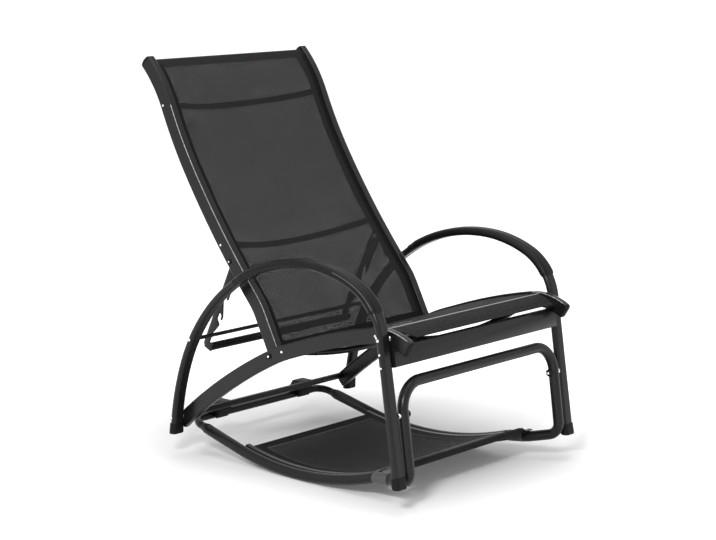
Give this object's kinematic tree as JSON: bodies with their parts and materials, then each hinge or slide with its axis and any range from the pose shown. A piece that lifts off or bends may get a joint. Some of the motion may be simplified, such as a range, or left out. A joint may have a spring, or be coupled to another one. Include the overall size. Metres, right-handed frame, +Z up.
{
  "type": "rocking chaise lounge",
  "caption": "Reclining garden chair of bent flat-oval tube with mesh slings, toothed back support, and curved runners with a foot panel that swing out from under it.",
  "frame": {"origin": "on the floor under the runners, midway between the side frames and under the middle of the whole depth", "axes": "+X to the sitter's left, -Y the way the sitter faces, +Z up"},
  "size_m": [0.7106, 0.9278, 1.0332],
  "materials": {
    "frame_paint": "satin powder coat",
    "black_plastic": "matte moulded",
    "sling": "woven coated mesh",
    "zinc": "zinc plated"
  },
  "bodies": {
    "chair_frame": {"side_frame_right": "frame_paint", "side_frame_left": "frame_paint", "foot_cap_front_right": "black_plastic", "foot_cap_front_left": "black_plastic", "foot_cap_rear_right": "black_plastic", "foot_cap_rear_left": "black_plastic", "arm_pad_right": "black_plastic", "arm_pad_left": "black_plastic", "seat_rail_right": "frame_paint", "seat_rail_left": "frame_paint", "seat_rail_front_cap_right": "black_plastic", "seat_rail_front_cap_left": "black_plastic", "seat_rail_rear_cap_right": "black_plastic", "seat_rail_rear_cap_left": "black_plastic", "front_apron": "frame_paint", "front_crossbar": "frame_paint", "seat_crossbar": "frame_paint", "rear_crossbar": "frame_paint", "rest_rod": "frame_paint", "rest_rod_bolt_right": "zinc", "rest_rod_bolt_left": "zinc", "rail_bolt_front_right": "zinc", "rail_bolt_front_left": "zinc", "rail_bolt_rear_right": "zinc", "rail_bolt_rear_left": "zinc", "back_pivot_bolt_right": "zinc", "back_pivot_bolt_left": "zinc", "back_pivot_washer_right": "black_plastic", "back_pivot_washer_left": "black_plastic", "loop_clip_right": "black_plastic", "loop_clip_left": "black_plastic", "seat_sling": "sling"},
    "backrest": {"back_rail_right": "frame_paint", "back_rail_left": "frame_paint", "back_rail_foot_right": "black_plastic", "back_rail_foot_left": "black_plastic", "back_rail_top_cap_right": "black_plastic", "back_rail_top_cap_left": "black_plastic", "back_top_bar": "frame_paint", "upper_brace": "frame_paint", "middle_brace": "frame_paint", "support_bolt_right": "zinc", "support_bolt_left": "zinc", "back_sling": "sling"},
    "back_support": {"support_plate_right": "frame_paint", "support_plate_left": "frame_paint", "support_crossbar": "frame_paint"},
    "rocker_frame": {"front_hoop": "frame_paint", "runner_right": "frame_paint", "runner_left": "frame_paint", "rear_loop_bar": "frame_paint", "rocker_knob_right": "black_plastic", "rocker_knob_left": "black_plastic", "rocker_spacer_right": "zinc", "rocker_spacer_left": "zinc", "foot_panel_rail_right": "frame_paint", "foot_panel_rail_left": "frame_paint", "foot_panel_rear_bar": "frame_paint", "foot_panel_front_bar": "frame_paint", "foot_sling": "sling"}
  },
  "joints": [
    {"name": "back_recline", "type": "hinge", "parent": "chair_frame", "child": "backrest", "pos_m": [0, -0.00777, 0.31704], "axis": [-1, 0, 0], "range_deg": [0, 28]},
    {"name": "support_swing", "type": "hinge", "parent": "backrest", "child": "back_support", "pos_m": [0, 0.14922, 0.53304], "axis": [1, 0, 0], "range_deg": [0, 23.8]},
    {"name": "rocker_swing", "type": "hinge", "parent": "chair_frame", "child": "rocker_frame", "pos_m": [0, -0.42645, 0.237], "axis": [-1, 0, 0], "range_deg": [0, 156.5]}
  ],
  "couplings": [
    {"joint": "support_swing", "follows": "back_recline", "ratio": 0.85}
  ]
}
